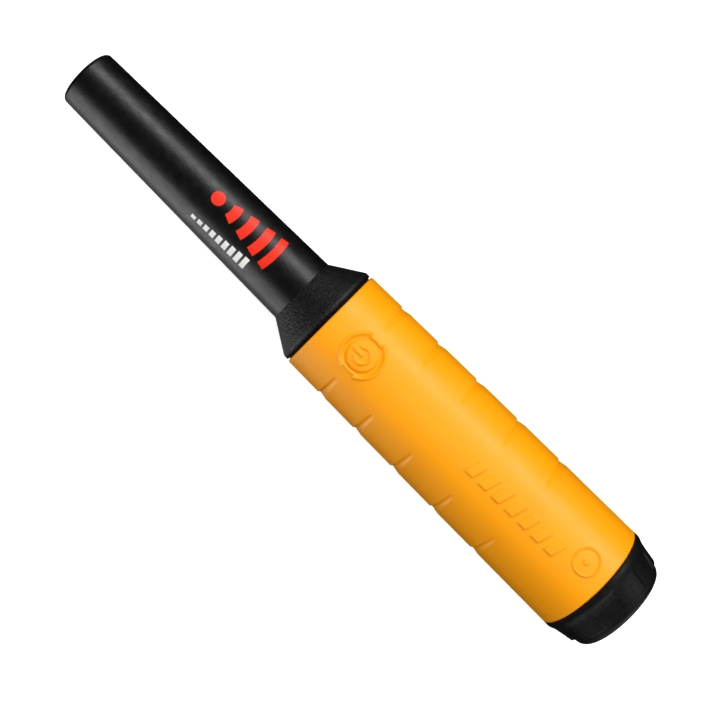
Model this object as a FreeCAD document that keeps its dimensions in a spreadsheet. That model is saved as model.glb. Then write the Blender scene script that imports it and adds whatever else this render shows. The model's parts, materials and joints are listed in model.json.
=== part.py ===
# Hand-held pinpointer probe for metal detecting, as a parametric FreeCAD document.
#
# The probe lies on its back along X: the sensing tip points to -X, the battery cap to +X, and the
# power button looks up (+Z). Every piece is drawn in probe coordinates, with X measured from the tip
# along the probe's own axis, and Y and Z measured from that axis. Its Placement then lifts it to the
# model frame, whose origin is under the middle of the probe, on the surface that it rests on.
# Millimetres throughout.
import FreeCAD, Part
import math
import os
import re
import PartDesign
import Sketcher
from FreeCAD import Rotation, Vector

DIMENSIONS = {
    # whole probe
    "overall_length": 237.0,
    "axis_height": 20.3,
    "static_gap": 0.03,  # between pieces that are bonded, wound or pushed together
    "overshoot": 1.0,  # how far a cutting shape reaches past what it cuts
    # probe tube
    "tube_length": 94.9,
    "tip_radius": 9.96,
    "tube_radius": 11.73,
    "tip_wall": 2.4,
    "tip_bore": 8.3,
    "tip_rounding": 1.5,
    "spigot_radius": 11.0,
    "spigot_bore": 9.2,
    "spigot_end": 112.0,
    # nose cone
    "cone_rim_start": 105.2,
    "cone_rim_end": 106.9,
    "cone_rim_radius": 18.3,
    "cone_rim_rounding": 1.4,
    "cone_rim_edge": 0.3,
    "cone_flange_radius": 17.5,
    "cone_neck_radius": 14.85,
    "cone_end": 115.0,
    "cone_counterbore": 13.0,
    "nose_ring_station": 111.25,
    "nose_ring_radius": 14.32,
    "nose_ring_section": 0.54,
    "nose_ring_play": 0.1,
    # barrel, the rigid housing under the rubber
    "grip_start": 107.3,
    "grip_end": 222.9,
    "front_bore": 14.9,
    "bay_start": 158.0,
    "bay_bore": 15.4,
    "seal_start": 221.0,
    "seal_bore": 16.45,
    # rubber grip
    "grip_front_radius": 18.6,
    "grip_middle_station": 175.0,
    "grip_middle_radius": 19.6,
    "grip_rear_radius": 20.1,
    "grip_front_rounding": 0.6,
    "grip_front_skin": 1.9,
    "grip_rear_skin": 1.9,
    "rest_start": 112.0,
    "rest_end": 219.0,
    "rest_width": 12.0,
    "rest_depth": 3.0,
    # finger notches down both flanks, steeper towards the tip
    "notch_first": 121.4,
    "notch_second": 137.1,
    "notch_third": 153.9,
    "notch_fourth": 171.6,
    "notch_fifth": 189.9,
    "notch_depth": 0.5,
    "notch_front_length": 0.7,
    "notch_rear_length": 2.2,
    "notch_span": 100.0,
    # raised marks on the grip, cut from upright prisms
    "prism_foot": 14.0,
    "prism_height": 8.0,
    "skin_lift": 0.06,
    "mark_sink": 1.0,
    "relief": 0.5,
    "bar_start": 168.0,
    "bar_pitch": 5.6,
    "bar_length": 3.6,
    "bar_width": 5.5,
    "bar_slant": 1.5,
    "ring_station": 214.1,
    "ring_radius": 4.55,
    "ring_line": 0.7,
    "dot_radius": 1.05,
    "ring_offset": 3.6,
    # power button
    "button_station": 122.1,
    "surround_radius": 7.6,
    "surround_notch_radius": 6.5,
    "surround_notch_width": 4.4,
    "button_groove_radius": 6.1,
    "button_groove_depth": 0.4,
    "button_hole_radius": 5.4,
    "button_radius": 5.25,
    "button_crown": 0.1,
    "symbol_height": 0.45,
    "symbol_radius": 2.9,
    "symbol_line": 0.8,
    "symbol_gap": 3.2,
    "symbol_bar": 3.9,
    "flange_radius": 6.2,
    "flange_pocket": 6.5,
    "flange_pocket_play": 0.1,
    "flange_top": 16.9,
    "flange_bottom": 16.1,
    "plunger_radius": 2.4,
    # circuit board and the parts on it
    "board_start": 116.0,
    "board_end": 158.0,
    "board_width": 26.0,
    "board_bottom": 3.0,
    "board_thickness": 1.6,
    "switch_side": 6.0,
    "switch_height": 3.5,
    "switch_floor": 1.4,
    "stem_radius": 1.75,
    "stem_clearance": 0.08,
    "stem_foot": 2.4,
    "stem_rise": 1.3,
    "coil_plug_start": 116.2,
    "coil_plug_length": 2.4,
    "coil_plug_width": 6.0,
    "battery_plug_start": 148.5,
    "battery_plug_length": 4.5,
    "battery_plug_width": 8.0,
    "plug_height": 4.5,
    "processor_station": 128.0,
    "processor_side": 7.0,
    "processor_offset": -3.5,
    "processor_height": 1.2,
    "crystal_offset": 6.0,
    "crystal_length": 8.0,
    "crystal_width": 3.6,
    "crystal_height": 3.4,
    "amplifier_station": 137.0,
    "amplifier_length": 5.0,
    "amplifier_width": 4.0,
    "amplifier_height": 1.5,
    "amplifier_first_offset": 1.0,
    "amplifier_second_offset": -5.0,
    "capacitor_station": 145.0,
    "capacitor_spacing": 6.0,
    "capacitor_radius": 2.5,
    "capacitor_height": 6.5,
    "screw_shank": 1.0,
    "screw_head": 1.9,
    "screw_head_height": 1.2,
    "screw_length": 5.0,
    "screw_inset": 3.5,
    "screw_side_inset": 5.5,
    "screw_hole_play": 0.1,
    "screw_thread_play": 0.02,
    "cross_length": 2.4,
    "cross_width": 0.5,
    "cross_depth": 0.7,
    "boss_radius": 2.2,
    "tray_floor": 1.6,
    "tray_bottom": -8.2,
    "tray_width": 21.0,
    "tray_wall": 1.4,
    # sounder
    "sounder_station": 148.0,
    "sounder_radius": 7.0,
    "sounder_height": 4.2,
    "sounder_disc_radius": 6.2,
    "sounder_disc_thickness": 0.6,
    "sounder_disc_recess": 0.4,
    "sounder_case_wall": 1.0,
    # vibration motor
    "motor_start": 122.0,
    "motor_length": 10.0,
    "motor_radius": 3.0,
    "motor_axis_drop": 2.4,
    "shaft_radius": 0.75,
    "shaft_clearance": 0.05,
    "shaft_reach": 6.0,
    "shaft_foot": 4.5,
    "weight_start": 133.2,
    "weight_length": 4.0,
    "weight_radius": 3.1,
    "weight_flat": 1.15,
    "cradle_wall": 1.2,
    "cradle_inset": 1.0,
    # search coil inside the tube
    "rod_start": 5.0,
    "rod_length": 72.0,
    "rod_radius": 4.0,
    "former_start": 8.0,
    "former_length": 64.0,
    "former_wall": 0.9,
    "winding_start": 26.0,
    "winding_length": 26.0,
    "winding_thickness": 1.6,
    "sense_length": 7.0,
    "sense_thickness": 1.1,
    "winding_gap": 3.0,
    "front_ring_start": 6.5,
    "centring_length": 1.5,
    "centring_front_radius": 8.2,
    "centring_rear_radius": 8.7,
    "lead_radius": 0.55,
    "lead_spacing": 1.6,
    "lead_straight": 2.4,
    "lead_rise_start": 93.0,
    "lead_rise_end": 103.0,
    # battery and its contacts
    "contact_board_start": 159.6,
    "contact_board_thickness": 1.6,
    "contact_board_radius": 15.2,
    "contact_lead_height": 1.2,
    "contact_play": 0.2,
    "battery_start": 164.4,
    "battery_length": 46.4,
    "battery_width": 26.5,
    "battery_height": 17.5,
    "battery_corner": 2.4,
    "terminal_height": 2.1,
    "terminal_spacing": 12.7,
    "stud_radius": 2.85,
    "cup_radius": 4.2,
    "cup_bore": 3.0,
    # battery cap
    "rib_sink": 1.0,
    "cap_start": 223.05,
    "cap_front_radius": 20.15,
    "cap_shoulder": 224.8,
    "cap_waist": 228.5,
    "cap_waist_radius": 18.5,
    "cap_rear_radius": 16.7,
    "cap_rear_rounding": 1.1,
    "rib_knee": 227.5,
    "rib_knee_radius": 19.3,
    "rib_end": 233.4,
    "rib_end_radius": 18.25,
    "rib_angle": 29.0,
    "rib_phase": 24.0,
    "rib_count": 6,
    "cap_spigot_start": 213.4,
    "cap_spigot_radius": 15.2,
    "cap_spigot_bore": 14.0,
    "cap_shelf": 216.5,
    "cap_bore": 12.6,
    "cap_floor": 234.4,
    "cap_groove_start": 221.25,
    "cap_groove_end": 222.75,
    "cap_groove_radius": 14.9,
    "cap_ring_radius": 15.68,
    "cap_ring_section": 0.72,
    "washer_radius": 13.9,
    "washer_start": 215.4,
    "washer_thickness": 1.0,
    "foam_radius": 13.4,
    "foam_start": 210.9,
    # screw thread between barrel and cap
    "thread_lead": 3.0,
    "thread_start": 214.9,
    "thread_turns": 1.75,
    "thread_crest": 16.2,
    "thread_crest_width": 0.6,
    "thread_foot_width": 1.9,
    "thread_play": 0.2,
}

doc = FreeCAD.newDocument("PinpointerProbe")
sheet = doc.addObject("Spreadsheet::Sheet", "Dims")
for row, (name, size) in enumerate(DIMENSIONS.items(), 1):
    sheet.set(f"A{row}", name)
    sheet.set(f"B{row}", str(size))
    sheet.setAlias(f"B{row}", name)
doc.recompute()

TO_X = Rotation(Vector(0, 1, 0), 90)  # turns a primitive that stands along Z to lie along X
UPRIGHT = Rotation()
BAR_COUNT = 7
BEND_SHARE = 0.45  # how much of a wire's run on either side of a corner goes into the bend
FIND = 0.02  # how close an edge has to be to where it is looked for
SLIVER = 0.01  # cubic millimetres that a cut has to take away at the least
pieces = []  # every sub-part of the probe, in the order it is made


# ---- helpers -------------------------------------------------------------------------------------
def bound(formula):
    """The formula as an expression: each name of the table above points at its cell in the sheet."""
    return re.sub(r"[a-z]\w*", lambda word: bound_word(word.group()), formula)


def bound_word(word):
    return "Dims." + word if word in DIMENSIONS else word


def value(formula):
    """What the formula comes to, in millimetres or degrees."""
    result = sheet.evalExpression(bound(formula))
    return float(getattr(result, "Value", result))


def put(item, x="0", y="0", z="0", rotation=UPRIGHT):
    """Places an object, with each coordinate of its base bound to a formula."""
    item.Placement = FreeCAD.Placement(Vector(0, 0, 0), rotation)
    for coordinate, formula in (("x", x), ("y", y), ("z", z)):
        item.setExpression(f"Placement.Base.{coordinate}", bound(formula))


def keep(item, label, x="0", y="0", z="0", rotation=UPRIGHT):
    """Makes an object a sub-part: names it, and lifts it from probe coordinates to the model frame."""
    item.Label = label
    put(item, f"{x} - overall_length / 2", y, f"{z} + axis_height", rotation)
    pieces.append(item)


def sized(kind, name, **sizes):
    """A Part primitive whose sizes are bound to formulas."""
    item = doc.addObject(f"Part::{kind}", name)
    for prop, formula in sizes.items():
        item.setExpression(prop, bound(formula))
    return item


def cylinder(name, radius, length):
    return sized("Cylinder", name, Radius=radius, Height=length)


def box(name, length, width, height):
    return sized("Box", name, Length=length, Width=width, Height=height)


def cut(base, tool):
    item = doc.addObject("Part::Cut", "Cut")
    item.Base, item.Tool = base, tool
    return item


def fuse(shapes):
    item = doc.addObject("Part::MultiFuse", "Fuse")
    item.Shapes, item.Refine = shapes, True
    return item


def common(first, second):
    item = doc.addObject("Part::MultiCommon", "Common")
    item.Shapes = [first, second]
    return item


def tube(name, outer, inner, x, length):
    """A straight tube along the probe, in probe coordinates."""
    shell = cylinder(name + "_outside", outer, length)
    bore = cylinder(name + "_bore", inner, f"{length} + 2 * overshoot")
    put(shell, x, rotation=TO_X)
    put(bore, f"{x} - overshoot", rotation=TO_X)
    return cut(shell, bore)


def new_body(label):
    return doc.addObject("PartDesign::Body", label)


def origin_feature(body, role):
    """One of the planes or axes of a body's own origin."""
    return next(f for f in body.Origin.OriginFeatures if f.Role == role)


def sketch_on(body, role, name, offset="0"):
    """An empty sketch on an origin plane of the body, moved along the plane's normal by a formula."""
    sketch = body.newObject("Sketcher::SketchObject", name)
    sketch.AttachmentSupport = [(origin_feature(body, role), "")]
    sketch.MapMode = "FlatFace"
    sketch.setExpression("AttachmentOffset.Base.z", bound(offset))
    return sketch


def draw(sketch, points):
    """Adds a closed outline of straight edges, whose corners are all bound to formulas."""
    corners = [Vector(value(x), value(y), 0) for x, y in points]
    count, first = len(corners), sketch.GeometryCount
    for i in range(count):
        sketch.addGeometry(Part.LineSegment(corners[i], corners[(i + 1) % count]), False)
    for i in range(count):
        sketch.addConstraint(Sketcher.Constraint("Coincident", first + i, 2, first + (i + 1) % count, 1))
    for i, corner in enumerate(points):
        for kind, formula in zip(("DistanceX", "DistanceY"), corner):
            constraint = Sketcher.Constraint(kind, -1, 1, first + i, 1, value(formula))
            index = sketch.addConstraint(constraint)
            sketch.setExpression(f"Constraints[{index}]", bound(formula))
    return sketch


def draw_circle(sketch, x, y, radius):
    """Adds a circle whose centre and radius are bound to formulas."""
    circle = Part.Circle(Vector(value(x), value(y), 0), Vector(0, 0, 1), value(radius))
    curve = sketch.addGeometry(circle, False)
    for kind, formula in (("DistanceX", x), ("DistanceY", y)):
        index = sketch.addConstraint(Sketcher.Constraint(kind, -1, 1, curve, 3, value(formula)))
        sketch.setExpression(f"Constraints[{index}]", bound(formula))
    index = sketch.addConstraint(Sketcher.Constraint("Radius", curve, value(radius)))
    sketch.setExpression(f"Constraints[{index}]", bound(radius))


def turn(body, sketch, kind="Revolution", angle="360"):
    """Revolves a sketch about the probe's axis, symmetrically if it isn't a full turn."""
    feature = body.newObject(f"PartDesign::{kind}", kind)
    feature.Profile = sketch
    feature.ReferenceAxis = (sketch, ["H_Axis"])
    feature.Midplane = True
    feature.setExpression("Angle", bound(angle))
    return feature


def turned_body(label, points):
    """A body of revolution about the probe's axis, from its half section (x, radius)."""
    body = new_body(label)
    turn(body, draw(sketch_on(body, "XZ_Plane", "HalfSection"), points))
    doc.recompute()
    return body


def pad(body, sketch, length):
    feature = body.newObject("PartDesign::Pad", "Pad")
    feature.Profile = sketch
    feature.setExpression("Length", bound(length))


def pocket(body, sketch, length):
    """Cuts upwards from a sketch into the body, and makes sure that it took something away."""
    doc.recompute()
    before = body.Shape.Volume
    feature = body.newObject("PartDesign::Pocket", "Pocket")
    feature.Profile = sketch
    feature.Reversed = True
    feature.setExpression("Length", bound(length))
    doc.recompute()
    assert body.Shape.Volume < before - SLIVER, f"{feature.Label} cuts nothing"


def ring_edges(feature, x, radius):
    """Names of a feature's circular edges at station x with that radius, both formulas."""
    names = []
    for number, edge in enumerate(feature.Shape.Edges, 1):
        curve = edge.Curve
        if isinstance(curve, Part.Circle) and abs(curve.Radius - value(radius)) < FIND:
            if abs(curve.Center.x - value(x)) < FIND:
                names.append(f"Edge{number}")
    return names


def round_ring(body, x, radius, rounding):
    """Rounds the circular edge at station x."""
    feature = body.newObject("PartDesign::Fillet", "Rounding")
    base = feature.BaseFeature
    feature.Base = (base, ring_edges(base, x, radius))
    feature.setExpression("Radius", bound(rounding))
    doc.recompute()


def helix(body, kind, points, turns):
    """A thread ridge or groove: the outline swept along a right-handed helix about the probe's axis."""
    sketch = draw(sketch_on(body, "XZ_Plane", "ThreadSection"), points)
    feature = body.newObject(f"PartDesign::{kind}Helix", "Thread")
    feature.Profile = sketch
    feature.ReferenceAxis = (sketch, ["H_Axis"])
    feature.Mode = 0
    feature.setExpression("Pitch", bound("thread_lead"))
    feature.setExpression("Height", bound(f"thread_lead * ({turns})"))
    doc.recompute()


def lead(name, route, radius):
    """An insulated wire along a route: straight runs joined by tangent arcs."""
    stops = [Vector(*(value(formula) for formula in stop)) for stop in route]
    edges, start = [], stops[0]
    for before, corner, after in zip(stops, stops[1:], stops[2:]):
        inward, outward = before - corner, after - corner
        half_turn = (math.pi - inward.getAngle(outward)) / 2
        setback = BEND_SHARE * min(inward.Length, outward.Length)
        bend_radius = setback / math.tan(half_turn)
        enter = corner + inward.normalize() * setback
        leave = corner + outward.normalize() * setback
        middle_way = (inward + outward).normalize()
        centre = corner + middle_way * (bend_radius / math.cos(half_turn))
        edges.append(Part.LineSegment(start, enter).toShape())
        edges.append(Part.Arc(enter, centre - middle_way * bend_radius, leave).toShape())
        start = leave
    edges.append(Part.LineSegment(start, stops[-1]).toShape())
    path = Part.Wire(edges)
    section = Part.Circle(stops[0], edges[0].tangentAt(edges[0].FirstParameter), value(radius))
    shape = path.makePipeShell([Part.Wire([section.toShape()])], True, False)
    item = doc.addObject("Part::Feature", name)
    item.Shape = shape
    offset = Vector(value("-overall_length / 2"), 0, value("axis_height"))
    item.Placement = FreeCAD.Placement(offset, UPRIGHT)
    item.Label = name
    pieces.append(item)


# ---- nose: probe tube, cone and seal -------------------------------------------------------------
def probe_tube():
    """Tapered tube with a closed, rounded tip. Its spigot is bonded into the nose cone."""
    body = turned_body("probe_tube", [
        ("0", "0"),
        ("0", "tip_radius"),
        ("tube_length", "tube_radius"),
        ("tube_length", "spigot_radius"),
        ("spigot_end", "spigot_radius"),
        ("spigot_end", "spigot_bore"),
        ("tip_wall", "tip_bore"),
        ("tip_wall", "0"),
    ])
    round_ring(body, "0", "tip_radius", "tip_rounding")
    keep(body, "probe_tube")


def nose_cone():
    """Flares from the tube to the width of the grip, and plugs into the front of the barrel."""
    bore = "spigot_radius + static_gap"
    groove = "nose_ring_radius - nose_ring_section - static_gap"
    half = "(nose_ring_section + nose_ring_play)"
    body = turned_body("nose_cone", [
        ("tube_length", bore),
        ("tube_length", "tube_radius"),
        ("cone_rim_start", "cone_rim_radius"),
        ("cone_rim_end", "cone_rim_radius"),
        ("cone_rim_end", "cone_flange_radius"),
        ("grip_start", "cone_flange_radius"),
        ("grip_start", "cone_neck_radius"),
        (f"nose_ring_station - {half}", "cone_neck_radius"),
        (f"nose_ring_station - {half}", groove),
        (f"nose_ring_station + {half}", groove),
        (f"nose_ring_station + {half}", "cone_neck_radius"),
        ("cone_end", "cone_neck_radius"),
        ("cone_end", "cone_counterbore"),
        ("spigot_end", "cone_counterbore"),
        ("spigot_end", bore),
    ])
    round_ring(body, "cone_rim_start", "cone_rim_radius", "cone_rim_rounding")
    round_ring(body, "cone_rim_end", "cone_rim_radius", "cone_rim_edge")
    keep(body, "nose_cone")


def seal_ring(label, station, radius, section):
    ring = sized("Torus", label, Radius1=radius, Radius2=section)
    keep(ring, label, station, rotation=TO_X)


# ---- grip: barrel, rubber sleeve and the raised marks --------------------------------------------
def grip_radius(x):
    """Formula of the grip's radius at station x, on the straight line from its front to its rear."""
    slope = "(grip_rear_radius - grip_front_radius) / (grip_end - grip_start)"
    return f"grip_front_radius + ({x} - grip_start) * {slope}"


def barrel_radius(x):
    """Formula of the barrel's outside radius at station x: the grip's outside less its skin."""
    front = "(grip_front_radius - grip_front_skin)"
    rear = "(grip_rear_radius - grip_rear_skin)"
    return f"{front} + ({rear} - {front}) * ({x} - grip_start) / (grip_end - grip_start)"


def thread_section(play):
    """Outline of the thread at its start, widened and heightened by the play."""
    foot = "cap_spigot_radius - thread_play"
    crest = f"thread_crest + {play}"
    return [
        (f"thread_start - thread_foot_width / 2 - {play}", foot),
        (f"thread_start - thread_crest_width / 2 - {play}", crest),
        (f"thread_start + thread_crest_width / 2 + {play}", crest),
        (f"thread_start + thread_foot_width / 2 + {play}", foot),
    ]


def barrel():
    """Rigid housing under the rubber, with the button's opening and the thread that holds the cap."""
    body = turned_body("barrel", [
        ("grip_start", "front_bore"),
        ("grip_start", barrel_radius("grip_start")),
        ("grip_end", barrel_radius("grip_end")),
        ("grip_end", "seal_bore"),
        ("seal_start", "seal_bore"),
        ("seal_start", "bay_bore"),
        ("bay_start", "bay_bore"),
        ("bay_start", "front_bore"),
    ])
    opening = sketch_on(body, "XY_Plane", "ButtonOpening", "prism_foot - overshoot")
    draw_circle(opening, "button_station", "0", "flange_pocket")
    pocket(body, opening, "prism_height")
    # the groove starts one lead before the cap's thread and runs out past the open end
    groove = [(f"{x} - thread_lead", radius) for x, radius in thread_section("thread_play")]
    helix(body, "Subtractive", groove, "thread_turns + 2")
    keep(body, "barrel")


def prism(name, radius, x, y):
    """An upright round prism that reaches through the grip's surface."""
    item = cylinder(name, radius, "prism_height")
    put(item, x, y, "prism_foot")
    return item


def surround():
    """The button's raised surround, as an upright prism: a disc with a notch on either side."""
    across = "(2 * surround_radius + 2 * overshoot)"
    slot = box("SurroundSlot", "surround_notch_width", across, "prism_height + overshoot")
    put(slot, "button_station - surround_notch_width / 2", f"-{across} / 2", "prism_foot")
    core = prism("SurroundCore", "surround_notch_radius", "button_station", "0")
    return cut(prism("SurroundDisc", "surround_radius", "button_station", "0"), cut(slot, core))


def bar_prism(index):
    """One of the slanted raised bars, as an upright prism."""
    body = new_body(f"BarPrism{index}")
    start = f"bar_start + {index} * bar_pitch"
    sketch = draw(sketch_on(body, "XY_Plane", "Bar", "prism_foot"), [
        (f"{start} + bar_slant", "bar_width / 2"),
        (f"{start} + bar_length + bar_slant", "bar_width / 2"),
        (f"{start} + bar_length", "-bar_width / 2"),
        (start, "-bar_width / 2"),
    ])
    pad(body, sketch, "prism_height")
    return body


def target_mark():
    """A raised ring with a dot in it, as upright prisms."""
    place = ("ring_station", "ring_offset")
    disc = prism("MarkRing", "ring_radius", *place)
    bore = prism("MarkRingBore", "ring_radius - ring_line", *place)
    return [cut(disc, bore), prism("MarkDot", "dot_radius", *place)]


def grip_cone(name, rise):
    """The grip's outer surface raised by a formula: a solid cone along the stretch with the marks."""
    start, end = "rest_start", "grip_end - overshoot"
    radii = [f"{grip_radius(x)} + skin_lift + {rise}" for x in (start, end)]
    item = sized("Cone", name, Radius1=radii[0], Radius2=radii[1], Height=f"{end} - {start}")
    put(item, start, rotation=TO_X)
    return item


def grip_sleeve():
    """Soft rubber sleeve: notched for the fingers, with the raised marks and a flat to lie on."""
    body = turned_body("SleeveBase", [
        ("grip_start", "0"),
        ("grip_start", "grip_front_radius"),
        ("grip_middle_station", "grip_middle_radius"),
        ("grip_end", "grip_rear_radius"),
        ("grip_end", "0"),
    ])
    round_ring(body, "grip_start", "grip_front_radius", "grip_front_rounding")
    foot = draw(sketch_on(body, "XY_Plane", "RestFoot", "-axis_height"), [
        ("rest_start", "-rest_width / 2"),
        ("rest_end", "-rest_width / 2"),
        ("rest_end", "rest_width / 2"),
        ("rest_start", "rest_width / 2"),
    ])
    pad(body, foot, "rest_depth")
    inside = draw(sketch_on(body, "XZ_Plane", "BarrelSpace"), [
        ("grip_start", "0"),
        ("grip_start", barrel_radius("grip_start")),
        ("grip_end", barrel_radius("grip_end")),
        ("grip_end", "0"),
    ])
    turn(body, inside, "Groove")

    notches = sketch_on(body, "XY_Plane", "Notches")
    for number in ("first", "second", "third", "fourth", "fifth"):
        station = f"notch_{number}"
        surface = grip_radius(station)
        draw(notches, [
            (f"{station} - notch_front_length * 2", f"{surface} + notch_depth"),
            (station, f"{surface} - notch_depth"),
            (f"{station} + notch_rear_length * 2", f"{surface} + notch_depth"),
        ])
    doc.recompute()
    plain = body.Shape.Volume
    groove = turn(body, notches, "Groove", "notch_span")
    doc.recompute()
    mirrored = body.newObject("PartDesign::Mirrored", "OtherFlank")
    mirrored.Originals = [groove]
    mirrored.MirrorPlane = (origin_feature(body, "XZ_Plane"), [""])
    body.Tip = mirrored
    doc.recompute()
    assert body.Shape.Volume < plain - SLIVER, "the notches cut nothing"

    marks = fuse([bar_prism(index) for index in range(BAR_COUNT)] + target_mark() + [surround()])
    raised = common(marks, grip_cone("MarkSkin", "relief"))
    groove_disc = prism("GrooveDisc", "button_groove_radius", "button_station", "0")
    around_button = cut(groove_disc, grip_cone("GrooveFloor", "-button_groove_depth"))
    hole = prism("ButtonHole", "button_hole_radius", "button_station", "0")
    room = cylinder("FlangePocket", "flange_pocket", "flange_top + flange_pocket_play - prism_foot")
    put(room, "button_station", "0", "prism_foot")
    outside = fuse([body, cut(raised, grip_cone("MarkCore", "-mark_sink"))])
    keep(cut(outside, fuse([around_button, hole, room])), "grip_sleeve")


# ---- power button --------------------------------------------------------------------------------
def button_pad():
    """Rubber key with a raised power symbol, held under the sleeve by its flange."""
    column = prism("KeyColumn", "button_radius", "button_station", "0")
    flange = cylinder("KeyFlange", "flange_radius", "flange_top - flange_bottom")
    put(flange, "button_station", "0", "flange_bottom")
    below = cylinder("KeyBelow", "button_radius + overshoot", "flange_bottom - prism_foot")
    put(below, "button_station", "0", "prism_foot")
    crowned = cut(common(column, grip_cone("KeyCrown", "button_crown")), below)

    ring = cut(prism("SymbolRing", "symbol_radius", "button_station", "0"),
               prism("SymbolBore", "symbol_radius - symbol_line", "button_station", "0"))
    gap = box("SymbolGap", "symbol_radius + overshoot", "symbol_gap", "prism_height")
    put(gap, "button_station - symbol_radius - overshoot", "-symbol_gap / 2", "prism_foot")
    stroke = box("SymbolBar", "symbol_bar", "symbol_line", "prism_height")
    put(stroke, "button_station - symbol_bar", "-symbol_line / 2", "prism_foot")
    strokes = cut(fuse([cut(ring, gap), stroke]), below)
    symbol = common(strokes, grip_cone("SymbolSkin", "button_crown + symbol_height"))
    keep(fuse([crowned, flange, symbol]), "button_pad")


def button_plunger():
    """Stiff rod that carries the key's stroke down to the switch."""
    stem_top = "board_bottom + board_thickness + switch_height + stem_rise"
    rod = cylinder("button_plunger", "plunger_radius", f"flange_bottom - ({stem_top})")
    keep(rod, "button_plunger", "button_station", "0", stem_top)


def switch():
    """Tact switch on the board: a square case, and the stem that runs in it."""
    top = "board_bottom + board_thickness"
    case = box("SwitchCase", "switch_side", "switch_side", "switch_height")
    put(case, "button_station - switch_side / 2", "-switch_side / 2", top)
    well = cylinder("SwitchWell", "stem_radius + stem_clearance", "switch_height")
    put(well, "button_station", "0", f"{top} + switch_floor")
    keep(cut(case, well), "switch_body")
    stem = cylinder("switch_stem", "stem_radius", "switch_height + stem_rise - stem_foot")
    keep(stem, "switch_stem", "button_station", "0", f"{top} + stem_foot")


# ---- circuit board, tray and what they carry -----------------------------------------------------
def screw_places():
    """Stations and sides of the four board screws."""
    return [(x, y) for x in ("board_start + screw_inset", "board_end - screw_inset")
            for y in ("board_width / 2 - screw_side_inset", "screw_side_inset - board_width / 2")]


def main_board():
    body = new_body("main_board")
    outline = draw(sketch_on(body, "XY_Plane", "Outline", "board_bottom"), [
        ("board_start", "-board_width / 2"),
        ("board_end", "-board_width / 2"),
        ("board_end", "board_width / 2"),
        ("board_start", "board_width / 2"),
    ])
    pad(body, outline, "board_thickness")
    holes = sketch_on(body, "XY_Plane", "ScrewHoles", "board_bottom")
    for x, y in screw_places():
        draw_circle(holes, x, y, "screw_shank + screw_hole_play")
    pocket(body, holes, "board_thickness")
    keep(body, "main_board")


def board_tray():
    """Open trough under the board: floor, two walls and four screw bosses."""
    length = "board_end - board_start"
    walls = "board_bottom - tray_bottom"
    block = box("TrayBlock", length, "tray_width", walls)
    put(block, "board_start", "-tray_width / 2", "tray_bottom")
    space = box("TraySpace", f"{length} + 2 * overshoot", "tray_width - 2 * tray_wall", walls)
    put(space, "board_start - overshoot", "-tray_width / 2 + tray_wall", "tray_bottom + tray_floor")
    bosses, bores = [], []
    for x, y in screw_places():
        boss = cylinder("Boss", "boss_radius", f"{walls} - tray_floor / 2")
        put(boss, x, y, "tray_bottom + tray_floor / 2")
        bosses.append(boss)
        bore = cylinder("BossBore", "screw_shank + screw_thread_play", "screw_length + overshoot")
        put(bore, x, y, "board_bottom - screw_length")
        bores.append(bore)
    keep(cut(fuse([cut(block, space)] + bosses), fuse(bores)), "board_tray")


def board_screws():
    seat = "board_bottom + board_thickness"
    cross_foot = f"{seat} + screw_head_height - cross_depth"
    for number, (x, y) in enumerate(screw_places(), 1):
        head = cylinder("ScrewHead", "screw_head", "screw_head_height")
        put(head, x, y, seat)
        shank = cylinder("ScrewShank", "screw_shank", "screw_length")
        put(shank, x, y, f"{seat} - screw_length")
        slots = []
        for length, width in (("cross_length", "cross_width"), ("cross_width", "cross_length")):
            slot = box("Cross", length, width, "cross_depth + overshoot")
            put(slot, f"{x} - {length} / 2", f"{y} - {width} / 2", cross_foot)
            slots.append(slot)
        keep(cut(fuse([head, shank]), fuse(slots)), f"tray_screw_{number}")


def board_parts():
    """Chips, crystal, capacitors and the two plugs, all standing on the board's upper face."""
    top = "board_bottom + board_thickness"
    amplifier = ("amplifier_length", "amplifier_width", "amplifier_height")
    blocks = (
        ("processor_chip", "processor_station", "processor_offset",
         "processor_side", "processor_side", "processor_height"),
        ("amplifier_chip_1", "amplifier_station", "amplifier_first_offset", *amplifier),
        ("amplifier_chip_2", "amplifier_station", "amplifier_second_offset", *amplifier),
        ("crystal", "processor_station", "crystal_offset",
         "crystal_length", "crystal_width", "crystal_height"),
        ("coil_plug", "coil_plug_start", "-coil_plug_width / 2",
         "coil_plug_length", "coil_plug_width", "plug_height"),
        ("battery_plug", "battery_plug_start", "-battery_plug_width / 2",
         "battery_plug_length", "battery_plug_width", "plug_height"),
    )
    for label, x, y, length, width, height in blocks:
        keep(box(label, length, width, height), label, x, y, top)
    for number, side in enumerate(("capacitor_spacing", "0", "-capacitor_spacing"), 1):
        capacitor = cylinder(f"capacitor_{number}", "capacitor_radius", "capacitor_height")
        keep(capacitor, f"capacitor_{number}", "capacitor_station", side, top)


def sounder():
    """Piezo sounder hung under the board: a cup, and the disc that closes it."""
    case = cylinder("SounderCase", "sounder_radius", "sounder_height")
    put(case, "sounder_station", "0", "board_bottom - sounder_height")
    room = "sounder_height - sounder_case_wall"
    cavity = cylinder("SounderCavity", "sounder_disc_radius", f"{room} + overshoot")
    put(cavity, "sounder_station", "0", "board_bottom - sounder_height - overshoot")
    keep(cut(case, cavity), "sounder_case")
    disc = cylinder("sounder_disc", "sounder_disc_radius", "sounder_disc_thickness")
    level = "board_bottom - sounder_height + sounder_disc_recess"
    keep(disc, "sounder_disc", "sounder_station", "0", level)


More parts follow.
